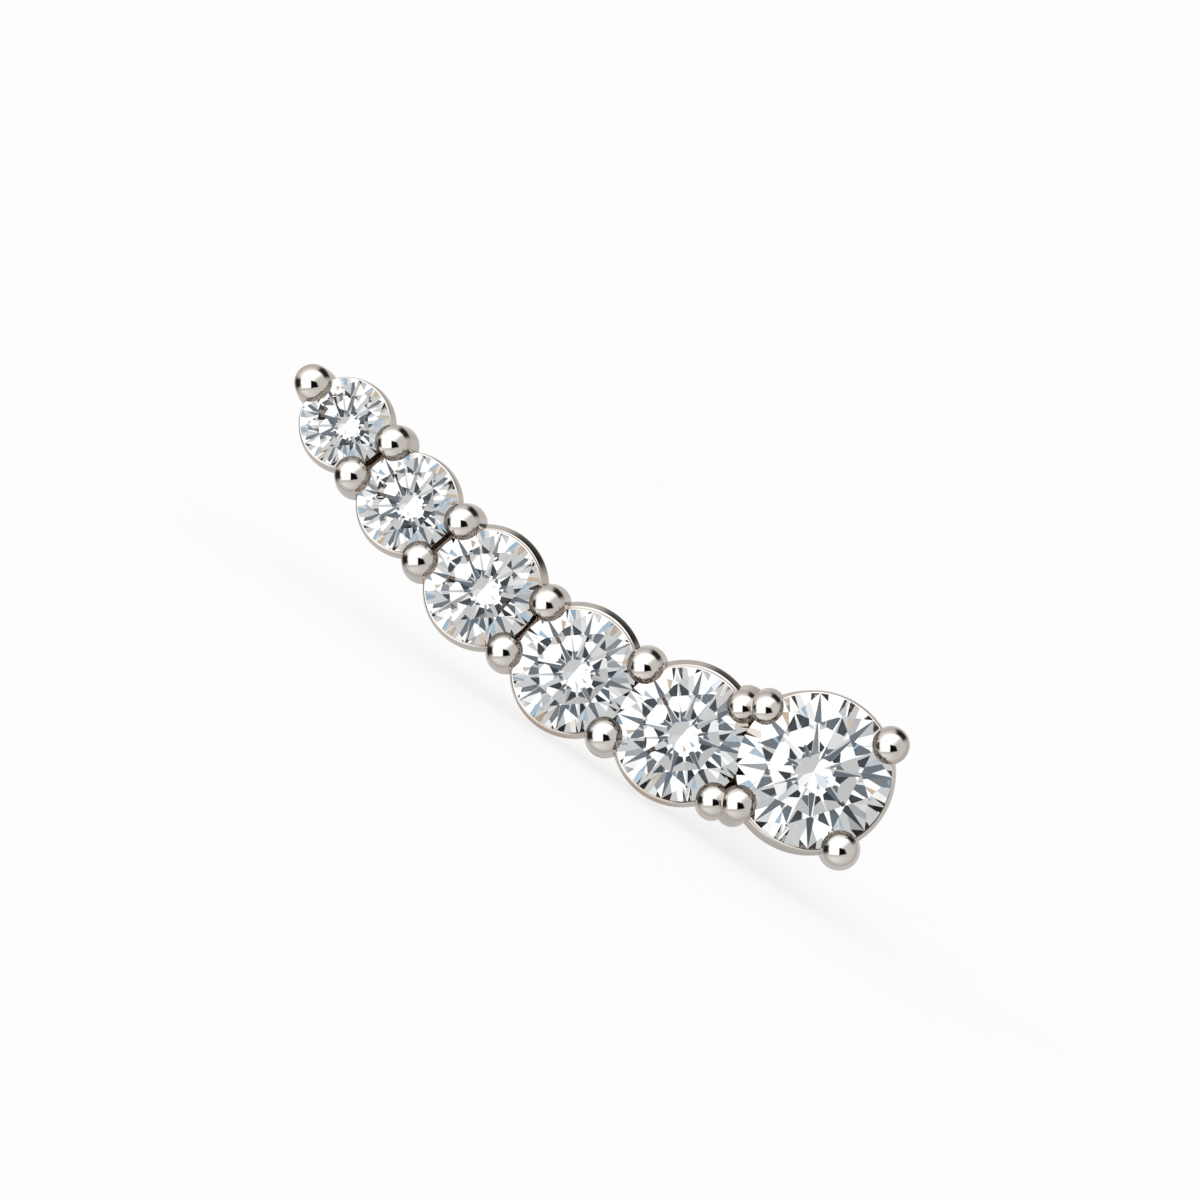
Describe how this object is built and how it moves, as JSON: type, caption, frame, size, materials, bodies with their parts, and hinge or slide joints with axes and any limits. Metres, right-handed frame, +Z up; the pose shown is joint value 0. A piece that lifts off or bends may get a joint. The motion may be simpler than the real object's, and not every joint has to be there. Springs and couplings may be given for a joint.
{
  "type": "diamond climber earring",
  "caption": "Curved ear climber: graduated round brilliants in a row of open-backed cups with shared ball-ended claws and a plain ear post, lying on its outer curve.",
  "frame": {"origin": "middle of the part's box, on the surface that it rests on", "axes": "+Z up, +X along the row towards the largest stone, +Y to the rear, the way that the post runs; the stones face -Y and look 7.0 degrees up"},
  "size_m": [0.0144, 0.0124, 0.0039],
  "materials": {
    "white_gold": "polished white gold",
    "diamond": "round brilliant cut, polished facets, colourless"
  },
  "bodies": {
    "root": {"setting": "white_gold", "stone_1": "diamond", "stone_2": "diamond", "stone_3": "diamond", "stone_4": "diamond", "stone_5": "diamond", "stone_6": "diamond"}
  },
  "joints": []
}
